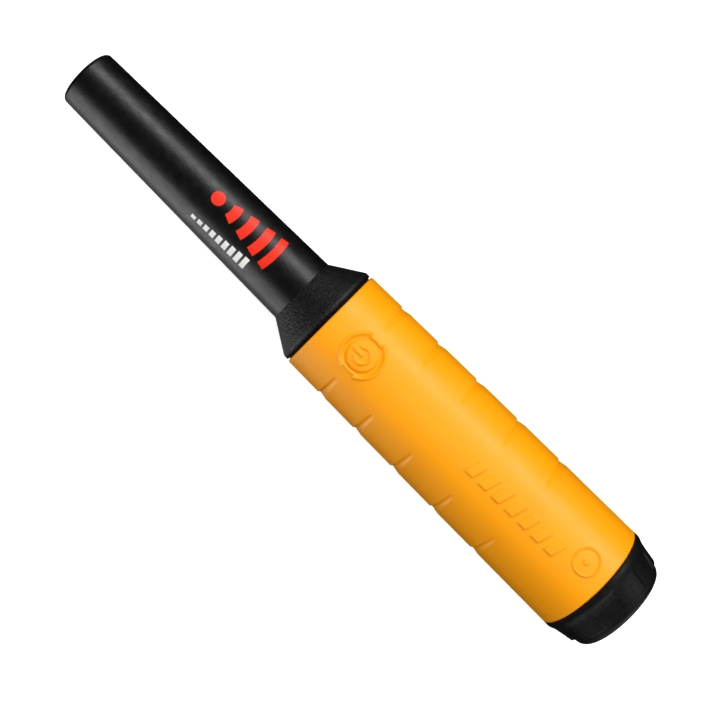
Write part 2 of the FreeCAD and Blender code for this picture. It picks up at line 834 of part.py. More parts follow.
def vibration_motor():
    """Motor can in its cradle, the shaft that spins in it and the half-round weight on the shaft."""
    drop = "-motor_axis_drop"
    can = cylinder("MotorCan", "motor_radius", "motor_length")
    put(can, "motor_start", "0", drop, TO_X)
    bore = cylinder("MotorBore", "shaft_radius + shaft_clearance", "shaft_reach + overshoot")
    put(bore, "motor_start + motor_length - shaft_reach", "0", drop, TO_X)
    keep(cut(can, bore), "motor_can")

    foot = "motor_start + shaft_foot"
    shaft = cylinder("motor_shaft", "shaft_radius", f"weight_start + weight_length - ({foot})")
    keep(shaft, "motor_shaft", foot, "0", drop, TO_X)

    disc = cylinder("WeightDisc", "weight_radius", "weight_length")
    put(disc, "weight_start", "0", drop, TO_X)
    half = box("WeightHalf", "weight_length + 2 * overshoot", "2 * weight_radius + 2 * overshoot",
               "weight_radius")
    put(half, "weight_start - overshoot", "-weight_radius - overshoot", f"{drop} + weight_flat")
    shaft_hole = cylinder("WeightHole", "shaft_radius", "weight_length + 2 * overshoot")
    put(shaft_hole, "weight_start - overshoot", "0", drop, TO_X)
    keep(cut(cut(disc, half), shaft_hole), "motor_weight")

    block = box("CradleBlock", "motor_length - 2 * cradle_inset", "2 * (motor_radius + cradle_wall)",
                f"{drop} - tray_bottom - tray_floor")
    put(block, "motor_start + cradle_inset", "-motor_radius - cradle_wall", "tray_bottom + tray_floor")
    seat = cylinder("CradleSeat", "motor_radius", "motor_length")
    put(seat, "motor_start", "0", drop, TO_X)
    keep(cut(block, seat), "motor_cradle")


# ---- search coil ---------------------------------------------------------------------------------
def search_coil():
    """Ferrite rod in its former, with one transmit winding between two sense windings."""
    rod = cylinder("ferrite_rod", "rod_radius", "rod_length")
    keep(rod, "ferrite_rod", "rod_start", rotation=TO_X)
    former = "rod_radius + static_gap + former_wall"
    rod_bore = "rod_radius + static_gap"
    keep(tube("Former", former, rod_bore, "former_start", "former_length"), "coil_former")
    sense = ("sense_length", "sense_thickness")
    windings = (
        ("transmit_winding", "winding_start", "winding_length", "winding_thickness"),
        ("sense_winding_front", "winding_start - winding_gap - sense_length", *sense),
        ("sense_winding_rear", "winding_start + winding_length + winding_gap", *sense),
    )
    winding_bore = f"{former} + static_gap"
    for label, start, length, thickness in windings:
        keep(tube(label + "_", f"{winding_bore} + {thickness}", winding_bore, start, length), label)
    rings = (
        ("centring_ring_front", "front_ring_start", "centring_front_radius"),
        ("centring_ring_rear", "former_start + former_length", "centring_rear_radius"),
    )
    for label, start, radius in rings:
        keep(tube(label + "_", radius, rod_bore, start, "centring_length"), label)
    entry = "board_bottom + board_thickness + plug_height / 2"
    for number, side in ((1, ""), (2, "-")):
        y = f"{side}lead_spacing"
        lead(f"coil_lead_{number}", [
            ("rod_start + rod_length + lead_radius", y, "0"),
            ("lead_rise_start", y, "0"),
            ("lead_rise_end", y, entry),
            ("coil_plug_start", y, entry),
        ], "lead_radius")


# ---- battery and contacts ------------------------------------------------------------------------
def snap_cup(name, x, y, length):
    """A ring-shaped snap contact along the probe."""
    outside = cylinder(name, "cup_radius", length)
    inside = cylinder(name + "Bore", "cup_bore", f"{length} + 2 * overshoot")
    put(outside, x, y, rotation=TO_X)
    put(inside, f"{x} - overshoot", y, rotation=TO_X)
    return cut(outside, inside)


def battery():
    """Nine-volt block with its two snap terminals, facing the contact board."""
    body = new_body("battery")
    side, edge = "battery_width / 2", "(battery_width / 2 - battery_corner)"
    face, rim = "battery_height / 2", "(battery_height / 2 - battery_corner)"
    section = draw(sketch_on(body, "YZ_Plane", "Section", "battery_start"), [
        (side, rim),
        (edge, face),
        ("-" + edge, face),
        ("-" + side, rim),
        ("-" + side, "-" + rim),
        ("-" + edge, "-" + face),
        (edge, "-" + face),
        (side, "-" + rim),
    ])
    pad(body, section, "battery_length")
    keep(body, "battery")

    front = "battery_start - terminal_height"
    stud = cylinder("battery_stud", "stud_radius", "terminal_height")
    keep(stud, "battery_stud", front, "terminal_spacing / 2", rotation=TO_X)
    keep(snap_cup("BatteryCup", front, "-terminal_spacing / 2", "terminal_height"), "battery_cup")


def battery_contacts():
    """Round board across the barrel, with the snap contacts that grip the battery's terminals."""
    disc = cylinder("contact_board", "contact_board_radius", "contact_board_thickness")
    keep(disc, "contact_board", "contact_board_start", rotation=TO_X)
    face = "contact_board_start + contact_board_thickness"
    reach = f"battery_start - contact_play - ({face})"
    keep(snap_cup("ContactCup", face, "terminal_spacing / 2", reach), "contact_cup")
    stud = cylinder("contact_stud", "stud_radius", reach)
    keep(stud, "contact_stud", face, "-terminal_spacing / 2", rotation=TO_X)
    plug_end = "battery_plug_start + battery_plug_length"
    high = "board_bottom + board_thickness + plug_height / 2"
    low = "board_bottom + board_thickness + contact_lead_height"
    for number, side in ((1, ""), (2, "-")):
        y = f"{side}lead_spacing"
        lead(f"battery_lead_{number}", [
            (plug_end, y, high),
            (f"{plug_end} + lead_straight", y, high),
            ("contact_board_start - lead_straight", y, low),
            ("contact_board_start", y, low),
        ], "lead_radius")


# ---- battery cap ---------------------------------------------------------------------------------
def battery_cap():
    """Ribbed screw cap with a hollow threaded spigot."""
    body = turned_body("battery_cap", [
        ("cap_spigot_start", "cap_spigot_bore"),
        ("cap_spigot_start", "cap_spigot_radius"),
        ("cap_groove_start", "cap_spigot_radius"),
        ("cap_groove_start", "cap_groove_radius"),
        ("cap_groove_end", "cap_groove_radius"),
        ("cap_groove_end", "cap_spigot_radius"),
        ("cap_start", "cap_spigot_radius"),
        ("cap_start", "cap_front_radius"),
        ("cap_shoulder", "cap_front_radius"),
        ("cap_waist", "cap_waist_radius"),
        ("overall_length", "cap_rear_radius"),
        ("overall_length", "0"),
        ("cap_floor", "0"),
        ("cap_floor", "cap_bore"),
        ("cap_shelf", "cap_bore"),
        ("cap_shelf", "cap_spigot_bore"),
    ])
    round_ring(body, "overall_length", "cap_rear_radius", "cap_rear_rounding")
    plane = sketch_on(body, "XZ_Plane", "RibSection")
    plane.AttachmentOffset = FreeCAD.Placement(Vector(), Rotation(Vector(1, 0, 0), -value("rib_phase")))
    section = draw(plane, [
        ("cap_shoulder - rib_sink / 2", "cap_front_radius - rib_sink"),
        ("cap_shoulder", "cap_front_radius"),
        ("rib_knee", "rib_knee_radius"),
        ("rib_end", "rib_end_radius"),
        ("rib_end", "cap_rear_radius - rib_sink"),
        ("cap_waist", "cap_waist_radius - rib_sink"),
    ])
    rib = turn(body, section, angle="rib_angle")
    doc.recompute()
    ribs = body.newObject("PartDesign::PolarPattern", "Ribs")
    ribs.Originals = [rib]
    ribs.Axis = (origin_feature(body, "X_Axis"), [""])
    ribs.setExpression("Occurrences", bound("rib_count"))
    body.Tip = ribs
    doc.recompute()
    helix(body, "Additive", thread_section("0"), "thread_turns")
    keep(body, "battery_cap")


def cap_inside():
    """What the cap pushes on the battery: a thrust washer that doesn't turn, and its foam pad."""
    washer = cylinder("thrust_washer", "washer_radius", "washer_thickness")
    keep(washer, "thrust_washer", "washer_start", rotation=TO_X)
    foam = cylinder("foam_pad", "foam_radius", "washer_start - foam_start")
    keep(foam, "foam_pad", "foam_start", rotation=TO_X)


probe_tube()
nose_cone()
seal_ring("nose_ring", "nose_ring_station", "nose_ring_radius", "nose_ring_section")
barrel()
grip_sleeve()
button_pad()
button_plunger()
switch()
main_board()
board_tray()
board_screws()
board_parts()
sounder()
vibration_motor()
search_coil()
battery()
battery_contacts()
battery_cap()
seal_ring("cap_ring", "(cap_groove_start + cap_groove_end) / 2", "cap_ring_radius", "cap_ring_section")
cap_inside()
doc.recompute()

# ---- checks and export ---------------------------------------------------------------------------
for item in doc.Objects:
    assert not {"Invalid", "Error"} & set(item.State), f"{item.Label}: {item.State}"
for piece in pieces:
    shape = piece.Shape
    assert not shape.isNull() and shape.isValid() and shape.Volume > 0, piece.Label
    assert len(shape.Solids) == 1, f"{piece.Label} has {len(shape.Solids)} solids"

os.makedirs("parts", exist_ok=True)
for piece in pieces:
    piece.Shape.exportStep(f"parts/{piece.Label}.step")
print(len(pieces), "sub-parts written")
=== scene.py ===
"""The looks of a hand-held pinpointer probe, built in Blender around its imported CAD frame.

Shapes are worked out in probe coordinates, in millimetres: u is the distance from the sensing tip along
the probe's axis, and an angle is measured about that axis, from the button's direction (+Z) towards +Y.
They are turned into metres of the row frame only when a mesh is made.
"""
import json
import math

import bmesh
import bpy
import numpy as np
from mathutils import Matrix, Vector


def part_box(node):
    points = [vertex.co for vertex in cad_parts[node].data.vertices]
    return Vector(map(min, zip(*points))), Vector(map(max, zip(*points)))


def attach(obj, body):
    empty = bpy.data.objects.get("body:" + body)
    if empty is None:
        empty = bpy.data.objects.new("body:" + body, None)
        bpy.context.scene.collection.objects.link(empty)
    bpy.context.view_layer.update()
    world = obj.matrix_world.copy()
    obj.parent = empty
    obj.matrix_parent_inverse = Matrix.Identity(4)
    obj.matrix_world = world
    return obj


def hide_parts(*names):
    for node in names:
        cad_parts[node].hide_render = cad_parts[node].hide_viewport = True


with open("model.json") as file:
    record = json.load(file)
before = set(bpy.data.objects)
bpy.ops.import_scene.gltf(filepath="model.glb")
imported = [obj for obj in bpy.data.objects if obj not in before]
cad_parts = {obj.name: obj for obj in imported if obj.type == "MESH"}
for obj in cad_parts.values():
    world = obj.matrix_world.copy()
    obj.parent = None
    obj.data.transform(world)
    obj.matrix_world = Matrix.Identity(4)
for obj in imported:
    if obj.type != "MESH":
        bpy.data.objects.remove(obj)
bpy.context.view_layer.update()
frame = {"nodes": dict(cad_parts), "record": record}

MM = 0.001
NEAR_AXIS = 0.02  # the smallest radius of a ring of vertices, in millimetres
TIP, TUBE_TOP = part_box("probe_tube")
TIP_X = TIP.x
AXIS_Z = (TIP.z + TUBE_TOP.z) / 2


def station(node, end):
    """Where a CAD node starts (end 0) or ends (end 1) along the probe, in millimetres from the tip."""
    return (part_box(node)[end].x - TIP_X) / MM


def reach(node):
    """Half the height of a CAD node, in millimetres: the radius of a round one."""
    low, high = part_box(node)
    return (high.z - low.z) / 2 / MM


# ---- sizes, in millimetres -----------------------------------------------------------------------
LENGTH = station("battery_cap", 1)
TUBE_RADIUS = reach("probe_tube")
CONE_START = station("nose_cone", 0)
GRIP_START, GRIP_END = station("grip_sleeve", 0), station("grip_sleeve", 1)
BUTTON_U = (station("button_plunger", 0) + station("button_plunger", 1)) / 2
REST_DROP = AXIS_Z / MM

TIP_RADIUS, TIP_ROUNDING, TIP_WALL, TIP_BORE = 9.96, 1.5, 2.4, 8.3
TUBE_SPIGOT_RADIUS, TUBE_SPIGOT_BORE = 11.0, 9.2
RIM_START, RIM_END, RIM_RADIUS = 105.2, 106.9, reach("nose_cone")
RIM_ROUNDING, RIM_EDGE = 1.6, 0.35
CONE_FLANGE_RADIUS, CONE_COUNTERBORE, CONE_COUNTERBORE_START = 17.5, 13.0, 112.0

GRIP_RADII = ((GRIP_START, 18.6), (175.0, 19.6), (GRIP_END, 20.1))
GRIP_SKIN = 1.9
GRIP_FRONT_ROUNDING, GRIP_REAR_ROUNDING = 0.7, 0.35
NOTCHES = (121.4, 137.1, 153.9, 171.6, 189.9)
NOTCH_DEPTH, NOTCH_TOP_SHARE = 0.52, 0.55
NOTCH_WALL = (-0.8, -0.15)
NOTCH_RAMP_START, NOTCH_RAMP_SHORT, NOTCH_RAMP_LONG = 0.2, 0.9, 2.7
NOTCH_TOP_FADE, NOTCH_GROWTH, NOTCH_LOW_FADE = (33, 41), (40, 85), (152, 138)
REST_START, REST_END, REST_HALF_WIDTH, REST_EDGE = 112.0, 219.0, 6.0, 0.9
BAR_START, BAR_PITCH, BAR_LENGTH, BAR_HALF_WIDTH, BAR_SLANT, BAR_COUNT = 168.0, 5.6, 3.6, 2.75, 1.5, 7
RING_U, RING_SIDE, RING_RADIUS, RING_LINE = 214.1, 3.6, 4.55, 0.7
RELIEF = 0.5

SURROUND_FOOT, SURROUND_CREST, SURROUND_INSIDE = 7.75, 6.95, 5.75
SURROUND_NOTCH_HALF_WIDTH, SURROUND_NOTCH_INSET = 2.2, 1.35
HOLE_RADIUS, KEY_RADIUS, FLANGE_RADIUS = 5.38, 5.33, 6.2
KEY_GROOVE, KEY_CROWN, SYMBOL_HEIGHT = 0.5, 0.1, 0.48
FLANGE_BOTTOM, FLANGE_TOP, FLANGE_PLAY = 16.1, 16.9, 0.1

CAP_START = 223.05
CAP_ROUNDING, CAP_MOUTH_RADIUS = 2.7, 19.9
CAP_POCKET_RADIUS, CAP_POCKET_LEDGE, CAP_POCKET_FLOOR = 12.6, 216.5, 234.4
SPIGOT_START = station("battery_cap", 0)
SPIGOT_BORE, SPIGOT_TIP_RADIUS, SPIGOT_RADIUS = 14.0, 14.9, 15.2
SEAL_GROOVE_START, SEAL_GROOVE_END, SEAL_GROOVE_RADIUS = 221.25, 222.75, 14.92
THREAD_LEAD, THREAD_START, THREAD_TURNS = 3.0, 214.9, 1.75
RIB_COUNT, RIB_HALF_ANGLE, RIB_PHASE = 6, math.radians(14.5), math.radians(22.8)


# ---- meshes --------------------------------------------------------------------------------------
def smooth(x, low, high):
    """0 below low, 1 above high and a soft S between them. low may be above high, to turn it round."""
    t = np.clip((x - low) / (high - low), 0, 1)
    return t * t * (3 - 2 * t)


def spaced(*stretches):
    """Values along stretches of (start, end, step), each no coarser than its step, without repeats."""
    parts = []
    for start, end, step in stretches:
        parts.append(np.linspace(start, end, max(1, math.ceil((end - start) / step)), endpoint=False))
    return np.concatenate(parts + [[stretches[-1][1]]])


def to_frame(points):
    """Millimetres of probe coordinates (u, y, z from the axis) as metres of the row frame."""
    return np.asarray(points, float) * MM + (TIP_X, 0, AXIS_Z)


def new_object(name, vertices, faces):
    """An object in the scene, from vertices in probe coordinates, with its faces turned outwards."""
    mesh = bpy.data.meshes.new(name)
    mesh.from_pydata(to_frame(vertices).tolist(), [], faces)
    bm = bmesh.new()
    bm.from_mesh(mesh)
    bmesh.ops.recalc_face_normals(bm, faces=bm.faces)
    bm.to_mesh(mesh)
    bm.free()
    made = bpy.data.objects.new(name, mesh)
    bpy.context.scene.collection.objects.link(made)
    return made


def shade(mesh, sharp):
    """Smooth shading, with a crease wherever two faces meet at more than sharp degrees."""
    mesh.shade_smooth()
    mesh.set_sharp_from_angle(angle=math.radians(sharp))


def new_piece(name, body, slot, vertices, faces, sharp=30, material=None):
    """A piece that rides on a CAD body, from vertices in probe coordinates. Its material is its slot's,
    unless it brings another."""
    piece = new_object(name, vertices, faces)
    shade(piece.data, sharp)
    piece.data.materials.append(material or SLOT_MATERIALS[slot])
    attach(piece, body)
    return piece


def grid_faces(rows, columns, first=0, wrap=True):
    """Quads between consecutive rows of vertices, each row closed on itself if wrap is set."""
    faces = []
    last = columns if wrap else columns - 1
    for i in range(rows - 1):
        a, b = first + i * columns, first + (i + 1) * columns
        for j in range(last):
            k = (j + 1) % columns
            faces.append((a + j, a + k, b + k, b + j))
    return faces


def loft(rows, closed=False):
    """Vertices and faces of a closed skin over rings of points. It joins the last ring to the first if
    closed is set, and otherwise ends in a point at the middle of each end ring."""
    rows = np.asarray(rows, float)
    count, columns = rows.shape[:2]
    vertices = rows.reshape(-1, 3)
    faces = grid_faces(count, columns)
    if closed:
        last = (count - 1) * columns
        faces += [(last + j, last + (j + 1) % columns, (j + 1) % columns, j) for j in range(columns)]
        return vertices, faces
    for ring, row in ((0, rows[0]), (count - 1, rows[-1])):
        middle = len(vertices)
        vertices = np.vstack([vertices, row.mean(0)])
        start = ring * columns
        faces += [(start + j, start + (j + 1) % columns, middle) for j in range(columns)]
    return vertices, faces


def around(u, radius, angles):
    """A ring of points at station u. u and radius are numbers or arrays along angles."""
    u = np.broadcast_to(u, angles.shape)
    return np.stack([u, radius * np.sin(angles), radius * np.cos(angles)], -1)


def rounded(outline, steps=6):
    """An outline of (u, r, rounding) corners as points, with an arc of that radius at each rounding."""
    points = [np.array(outline[0][:2], float)]
    for before, (u, r, rounding), after in zip(outline, outline[1:], outline[2:]):
        corner = np.array((u, r), float)
        if not rounding:
            points.append(corner)
            continue
        inward = np.array(before[:2], float) - corner
        outward = np.array(after[:2], float) - corner
        inward /= np.linalg.norm(inward)
        outward /= np.linalg.norm(outward)
        half = math.acos(np.clip(inward @ outward, -1, 1)) / 2
        bisector = (inward + outward) / np.linalg.norm(inward + outward)
        centre = corner + bisector * rounding / math.sin(half)
        setback = rounding / math.tan(half)
        start, end = corner + inward * setback - centre, corner + outward * setback - centre
        sweep = math.atan2(start[0] * end[1] - start[1] * end[0], start @ end)
        for k in range(steps + 1):
            turn = sweep * k / steps
            cos, sin = math.cos(turn), math.sin(turn)
            points.append(centre + (start[0] * cos - start[1] * sin, start[0] * sin + start[1] * cos))
    points.append(np.array(outline[-1][:2], float))
    return points


def finer(points, step):
    """The same outline with extra points, so that no run is longer than step."""
    result = [points[0]]
    for a, b in zip(points, points[1:]):
        parts = max(1, math.ceil(np.linalg.norm(b - a) / step))
        result += [a + (b - a) * k / parts for k in range(1, parts + 1)]
    return result


def turned(outline, columns=256, steps=6, step=3.0, closed=False):
    """Vertices and faces of a body of revolution about the probe's axis, from its rounded outline."""
    angles = np.linspace(0, 2 * math.pi, columns, endpoint=False)
    rows = [around(u, r, angles) for u, r in finer(rounded(outline, steps), step)]
    return loft(rows, closed)


def upright(u, radius, height, angles):
    """A level ring of points about the upright line through station u, at a height above the axis."""
    return np.stack([u + radius * np.cos(angles), radius * np.sin(angles), 0 * angles + height], -1)


def cut_hole(piece, u, steps):
    """Cuts a stepped round hole, upright at station u. steps are (radius, height above the axis)."""
    angles = np.linspace(0, 2 * math.pi, 160, endpoint=False)
    rings = [upright(u, radius, height, angles) for radius, height in steps]
    cutter = new_object("cutter", *loft(rings))
    cut = piece.modifiers.new("Hole", "BOOLEAN")
    cut.object = cutter
    cut.solver = "EXACT"
    graph = bpy.context.evaluated_depsgraph_get()
    result = bpy.data.meshes.new_from_object(piece.evaluated_get(graph), depsgraph=graph)
    piece.modifiers.clear()
    piece.data = result
    result.name = piece.name
    shade(result, 50)
    bpy.data.meshes.remove(cutter.data)


# ---- materials -----------------------------------------------------------------------------------
class Surface:
    """A Principled material that is built up from procedural layers in object space."""

    def __init__(self, name, colour, roughness, metallic=0.0, **inputs):
        self.material = bpy.data.materials.new(name)
        self.material.use_nodes = True
        self.tree = self.material.node_tree
        self.shader = self.tree.nodes["Principled BSDF"]
        self.shader.inputs["Base Color"].default_value = (*colour, 1)
        self.shader.inputs["Roughness"].default_value = roughness
        self.shader.inputs["Metallic"].default_value = metallic
        for key, value in inputs.items():
            self.shader.inputs[key.replace("_", " ")].default_value = value
        self.colour, self.roughness = colour, roughness
        self.place = self.node("ShaderNodeTexCoord").outputs["Object"]
        self.normal = None

    def node(self, kind, **settings):
        made = self.tree.nodes.new(kind)
        for key, value in settings.items():
            setattr(made, key, value)
        return made

    def link(self, source, target):
        self.tree.links.new(source, target)

    def stretched(self, factors):
        """Object coordinates multiplied by a factor along each axis."""
        mapping = self.node("ShaderNodeMapping")
        mapping.inputs["Scale"].default_value = factors
        self.link(self.place, mapping.inputs["Vector"])
        return mapping.outputs["Vector"]

    def noise(self, size_mm, detail=4.0, stretch=(1, 1, 1)):
        """Noise between 0 and 1 whose features are about size_mm across."""
        texture = self.node("ShaderNodeTexNoise")
        texture.inputs["Scale"].default_value = 1 / (size_mm * MM)
        texture.inputs["Detail"].default_value = detail
        self.link(self.stretched(stretch), texture.inputs["Vector"])
        return texture.outputs["Fac"]

    def cells(self, size_mm):
        texture = self.node("ShaderNodeTexVoronoi", feature="SMOOTH_F1")
        texture.inputs["Scale"].default_value = 1 / (size_mm * MM)
        self.link(self.place, texture.inputs["Vector"])
        return texture.outputs["Distance"]

    def remap(self, value, low, high, to_low, to_high):
        """The value, with low turned into to_low, high into to_high, and clamped outside."""
        node = self.node("ShaderNodeMapRange")
        node.inputs["From Min"].default_value = low
        node.inputs["From Max"].default_value = high
        node.inputs["To Min"].default_value = to_low
        node.inputs["To Max"].default_value = to_high
        self.link(value, node.inputs["Value"])
        return node.outputs["Result"]

    def tint(self, factor, colour):
        """Mixes another colour in where factor is high."""
        mix = self.node("ShaderNodeMix", data_type="RGBA")
        socket = self.shader.inputs["Base Color"]
        if socket.is_linked:
            self.link(socket.links[0].from_socket, mix.inputs["A"])
        else:
            mix.inputs["A"].default_value = socket.default_value
        mix.inputs["B"].default_value = (*colour, 1)
        self.link(factor, mix.inputs["Factor"])
        self.link(mix.outputs["Result"], socket)
        return self

    def vary_colour(self, size_mm, colour, amount=1.0):
        """Cloudy patches of a second colour."""
        return self.tint(self.remap(self.noise(size_mm), 0.35, 0.7, 0, amount), colour)

    def vary_roughness(self, size_mm, spread, stretch=(1, 1, 1)):
        value = self.noise(size_mm, 5, stretch)
        low, high = self.roughness - spread, self.roughness + spread
        self.link(self.remap(value, 0.3, 0.7, low, high), self.shader.inputs["Roughness"])
        return self

    def bump(self, height, depth_mm, strength=1.0):
        """Adds a relief of about depth_mm over those already there."""
        node = self.node("ShaderNodeBump")
        node.inputs["Strength"].default_value = strength
        node.inputs["Distance"].default_value = depth_mm * MM
        self.link(height, node.inputs["Height"])
        if self.normal:
            self.link(self.normal, node.inputs["Normal"])
        self.normal = node.outputs["Normal"]
        self.link(self.normal, self.shader.inputs["Normal"])
        return self


def srgb(red, green, blue):
    """Linear colour from 0-255 display values."""
    channel = lambda c: c / 12.92 if c <= 0.04045 else ((c + 0.055) / 1.055) ** 2.4
    return tuple(channel(value / 255) for value in (red, green, blue))


def satin_plastic():
    """Black tube plastic: satin, with faint flow marks and the finest orange peel."""
    surface = Surface("tube_plastic", srgb(5, 5, 5), 0.4)
    surface.vary_colour(12, srgb(8, 8, 8), 0.8)
    surface.vary_roughness(3, 0.05)
    surface.bump(surface.noise(0.9, 4), 0.07, 0.8)
    return surface.material


def grained_plastic(name, grey, roughness, depth, gloss):
    """Black plastic with a spark-eroded grain."""
    grain = 0.5
    surface = Surface(name, srgb(grey, grey, grey), roughness, Specular_IOR_Level=gloss)
    surface.vary_colour(0.9, srgb(grey + 10, grey + 10, grey + 10), 0.7)
    surface.vary_roughness(2.5, 0.08)
    surface.bump(surface.noise(grain, 6), depth, 0.9)
    surface.bump(surface.cells(grain * 1.6), depth * 0.7, 0.5)
    return surface.material


def cone_plastic():
    """Coarsely grained black plastic. Over its rear edge against the rubber its reflection is turned
    down, as painted shade.
    """
    surface = Surface("cone_plastic", srgb(2, 2, 2), 0.5)
    surface.vary_colour(0.7, srgb(20, 20, 20), 1.0)
    surface.vary_roughness(2.5, 0.08)
    surface.bump(surface.noise(0.7, 3), 0.36, 1.0)
    split = surface.node("ShaderNodeSeparateXYZ")
    surface.link(surface.place, split.inputs["Vector"])
    # Painted shade: the reflection is turned down over the rim's rear edge, where shade falls between the
    # rim and the rubber.
    edge = TIP_X + (RIM_START + 0.75) * MM
    painted_edge_shade = surface.remap(split.outputs["X"], edge - 0.2 * MM, edge + 0.2 * MM, 0.5, 0.06)
    surface.link(painted_edge_shade, surface.shader.inputs["Specular IOR Level"])
    return surface.material


def grip_rubber():
    """Yellow-orange moulded rubber: matt, with a fine grain and slightly mottled colour."""
    surface = Surface("grip_rubber", srgb(248, 158, 0), 0.43, Specular_IOR_Level=0.34)
    surface.vary_colour(22, srgb(246, 153, 0), 0.8)
    surface.vary_roughness(9, 0.04)
    surface.bump(surface.noise(0.32, 4), 0.014, 0.55)
    return surface.material


def printed(name, colour):
    """Pad-printed ink: slightly glossier than the plastic, with a thin uneven film."""
    surface = Surface(name, colour, 0.4, Specular_IOR_Level=0.3)
    surface.vary_colour(3, tuple(c * 0.86 for c in colour), 0.6)
    surface.bump(surface.noise(0.3, 3), 0.008, 0.4)
    return surface.material


def soft_black():
    surface = Surface("seal_rubber", srgb(20, 20, 20), 0.5)
    surface.vary_colour(2, srgb(32, 32, 32), 0.6)
    surface.bump(surface.noise(0.4, 3), 0.01, 0.4)
    return surface.material


def nylon():
    surface = Surface("natural_nylon", srgb(226, 222, 208), 0.42, Subsurface_Weight=0.15)
    surface.shader.inputs["Subsurface Scale"].default_value = 0.002
    surface.vary_colour(4, srgb(210, 205, 188), 0.6)
    surface.bump(surface.noise(0.5, 3), 0.01, 0.4)
    return surface.material


def laminate():
    """Green solder mask over a faint glass weave, with lighter copper runs showing through."""
    surface = Surface("board_laminate", srgb(16, 84, 44), 0.3, Coat_Weight=0.3)
    weave = surface.node("ShaderNodeTexWave", wave_type="BANDS", bands_direction="DIAGONAL")
    weave.inputs["Scale"].default_value = 1 / (2.4 * MM)
    weave.inputs["Distortion"].default_value = 2.0
    weave.inputs["Detail"].default_value = 1.0
    surface.link(surface.place, weave.inputs["Vector"])
    surface.tint(surface.remap(weave.outputs["Fac"], 0.55, 0.7, 0, 0.7), srgb(34, 118, 64))
    surface.bump(surface.noise(0.25, 2), 0.01, 0.4)
    return surface.material


def resin():
    surface = Surface("chip_resin", srgb(26, 26, 28), 0.55)
    surface.vary_colour(0.6, srgb(42, 42, 44), 0.6)
    surface.bump(surface.noise(0.18, 4), 0.015, 0.6)
    return surface.material


def plated_metal(name="plated_steel", colour=(0.62, 0.61, 0.58), roughness=0.26):
    surface = Surface(name, colour, roughness, 1.0)
    surface.vary_colour(1.5, tuple(c * 0.8 for c in colour), 0.6)
    surface.vary_roughness(0.8, 0.09, (0.2, 1, 1))
    surface.bump(surface.noise(0.3, 4, (0.2, 1, 1)), 0.006, 0.5)
    return surface.material


def sintered():
    surface = Surface("ferrite", srgb(46, 46, 50), 0.5, 0.2)
    surface.vary_colour(0.7, srgb(70, 70, 76), 0.7)
    surface.bump(surface.noise(0.25, 5), 0.03, 0.7)
    return surface.material


def enamelled_copper():
    surface = Surface("copper_winding", srgb(186, 92, 40), 0.28, 0.85, Coat_Weight=0.5)
    surface.vary_colour(3, srgb(150, 66, 26), 0.7)
    surface.vary_roughness(1, 0.08)
    return surface.material


def insulation():
    surface = Surface("lead_insulation", srgb(170, 22, 18), 0.42)
    surface.vary_colour(3, srgb(140, 16, 14), 0.6)
    surface.bump(surface.noise(0.4, 3), 0.01, 0.4)
    return surface.material


def jacket():
    """Printed metal battery jacket: dark body with a plain light band at one end."""
    surface = Surface("battery_jacket", srgb(34, 36, 42), 0.3, 0.5)
    split = surface.node("ShaderNodeSeparateXYZ")
    surface.link(surface.place, split.inputs["Vector"])
    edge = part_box("battery")[0].x + 0.3 * (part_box("battery")[1].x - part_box("battery")[0].x)
    band = surface.remap(split.outputs["X"], edge, edge - 0.0002, 0, 1)
    surface.tint(band, srgb(196, 160, 96))
    surface.vary_roughness(2, 0.06)
    surface.bump(surface.noise(0.5, 3), 0.01, 0.3)
    return surface.material


def foam():
    surface = Surface("cell_foam", srgb(38, 38, 40), 0.9)
    surface.vary_colour(1, srgb(60, 60, 62), 0.7)
    surface.bump(surface.cells(0.5), 0.2, 0.8)
    return surface.material


SLOT_MATERIALS = {
    "tube_abs": satin_plastic(),
    "cone_abs": cone_plastic(),
    "barrel_abs": grained_plastic("barrel_plastic", 26, 0.45, 0.02, 0.5),
    "grip_rubber": grip_rubber(),
    "cap_abs": grained_plastic("cap_plastic", 10, 0.48, 0.07, 0.15),
    "seal_rubber": soft_black(),
    "plunger_nylon": nylon(),
    "board_laminate": laminate(),
    "chip_resin": resin(),
    "plated_steel": plated_metal(),
    "tungsten_weight": plated_metal("heavy_metal", (0.4, 0.39, 0.38), 0.36),
    "piezo_brass": plated_metal("piezo_brass", (0.75, 0.55, 0.24), 0.3),
    "ferrite": sintered(),
    "copper_winding": enamelled_copper(),
    "lead_insulation": insulation(),
    "battery_jacket": jacket(),
    "foam": foam(),
}
for part in frame["record"]["subparts"]:
    for holder in frame["nodes"][part["node"]].material_slots:
        holder.material = SLOT_MATERIALS[part["material_slot"]]


# ---- nose ----------------------------------------------------------------------------------------
def probe_tube():
    """Tapered tube with its closed, rounded tip and the spigot that sits in the cone."""
    outline = [
        (0, 0, 0),
        (0, TIP_RADIUS, TIP_ROUNDING),
        (CONE_START, TUBE_RADIUS, 0),
        (CONE_START, TUBE_SPIGOT_RADIUS, 0),
        (station("probe_tube", 1), TUBE_SPIGOT_RADIUS, 0.2),
        (station("probe_tube", 1), TUBE_SPIGOT_BORE, 0),
        (TIP_WALL, TIP_BORE, 0),
        (TIP_WALL, 0, 0),
    ]
    outline = [(u, max(r, NEAR_AXIS), rounding) for u, r, rounding in outline]
    vertices, faces = turned(outline, steps=10)
    piece = new_piece("probe_tube_skin", "handle", "tube_abs", vertices, faces)
    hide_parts("probe_tube")


